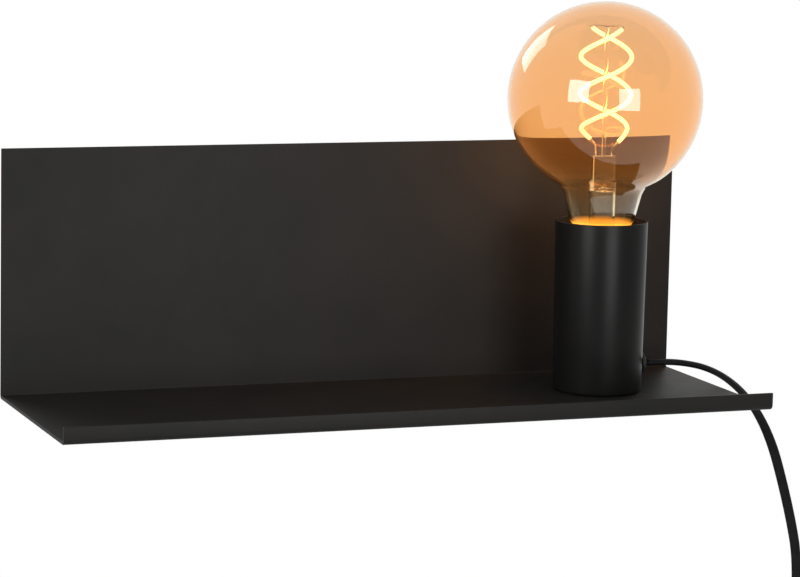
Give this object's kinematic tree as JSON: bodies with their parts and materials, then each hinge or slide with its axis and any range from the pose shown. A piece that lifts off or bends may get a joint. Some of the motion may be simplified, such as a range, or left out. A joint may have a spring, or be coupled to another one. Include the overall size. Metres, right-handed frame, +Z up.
{
  "type": "wall lamp with shelf",
  "caption": "Folded black steel wall shelf with a bare globe bulb in a cup lampholder, flat cord with rocker switch and plug",
  "frame": {"origin": "midway between the two wall screws, on the wall plane (the wall rail's back face)", "axes": "+X to the right along the shelf, +Y into the wall, +Z up"},
  "size_m": [0.4278, 0.125, 0.5088],
  "materials": {
    "black_sheet": "fine-textured satin black powder coat",
    "black_cup": "satin black powder coat on a drawn cup",
    "zinc_steel": "bright zinc plate",
    "bumper_rubber": "matt",
    "brass_parts": "bare stamped brass",
    "black_moulding": "satin moulded",
    "white_ceramic": "unglazed steatite",
    "black_cord": "satin flexible sheath",
    "brown_core": "core insulation",
    "blue_core": "core insulation",
    "amber_glass": "thin amber glass",
    "clear_glass": "clear glass",
    "glowing_strand": "flexible strand with phosphor coat, lit",
    "nickel_wire": "drawn nickel wire",
    "nickel_cap": "nickel-plated rolled shell",
    "cap_black_glass": "black insulating glass",
    "solder": "solder",
    "circuit_board": "white solder mask",
    "tie_band": "flat band",
    "black_gloss": "glossy moulded",
    "black_rocker": "glossy moulded",
    "nickel_pin": "nickel-plated brass"
  },
  "bodies": {
    "wall": {"wall_rail": "zinc_steel"},
    "lamp": {"shelf_sheet": "black_sheet", "hanger_strip": "black_sheet", "wall_bumpers": "bumper_rubber", "holder_cup": "black_cup", "holder_bridge": "zinc_steel", "foot_screws": "zinc_steel", "threaded_nipple": "zinc_steel", "toothed_washer": "zinc_steel", "nipple_nut": "brass_parts", "lampholder_dome": "black_moulding", "lampholder_skirt": "black_moulding", "lampholder_core": "white_ceramic", "screw_shell": "brass_parts", "centre_contact": "brass_parts", "terminal_tabs": "brass_parts", "terminal_screws": "zinc_steel", "cord_gland": "black_moulding", "gland_nut": "black_moulding", "inner_cord": "black_cord", "live_core": "brown_core", "neutral_core": "blue_core", "cord_drop": "black_cord", "cord_link": "black_cord", "cord_coil": "black_cord", "cord_tail": "black_cord", "coil_tie": "tie_band", "switch_front": "black_gloss", "switch_back": "black_gloss", "switch_screws": "zinc_steel", "rocker_pin": "zinc_steel", "switch_terminals": "brass_parts", "switch_cores": "brown_core", "plug_body": "black_gloss", "plug_pins": "nickel_pin", "pin_sleeves": "black_moulding"},
    "bulb_travel": {"cap_contact": "solder"},
    "bulb": {"bulb_glass": "amber_glass", "bulb_stem": "clear_glass", "filament_front": "glowing_strand", "filament_rear": "glowing_strand", "top_wire": "nickel_wire", "lead_wires": "nickel_wire", "bulb_cap": "nickel_cap", "cap_insulator": "cap_black_glass", "driver_board": "circuit_board"},
    "rocker": {"switch_rocker": "black_rocker", "contact_blade": "brass_parts"}
  },
  "joints": [
    {"name": "lift_off_rail", "type": "slide", "parent": "wall", "child": "lamp", "axis": [0, 0, 1], "range_m": [0, 0.012]},
    {"name": "bulb_lift", "type": "slide", "parent": "lamp", "child": "bulb_travel", "axis": [0, 0, 1], "range_m": [0, 0.01086]},
    {"name": "bulb_unscrew", "type": "hinge", "parent": "bulb_travel", "child": "bulb", "pos_m": [0.1116, -0.0605, 0], "axis": [0, 0, 1], "range_deg": [0, 1080]},
    {"name": "rocker_press", "type": "hinge", "parent": "lamp", "child": "rocker", "pos_m": [0.226, -0.0665, -0.215], "axis": [1, 0, 0], "range_deg": [-14, 0]}
  ],
  "couplings": [
    {"joint": "bulb_lift", "follows": "bulb_unscrew", "m_per_rad": 0.00057614}
  ]
}
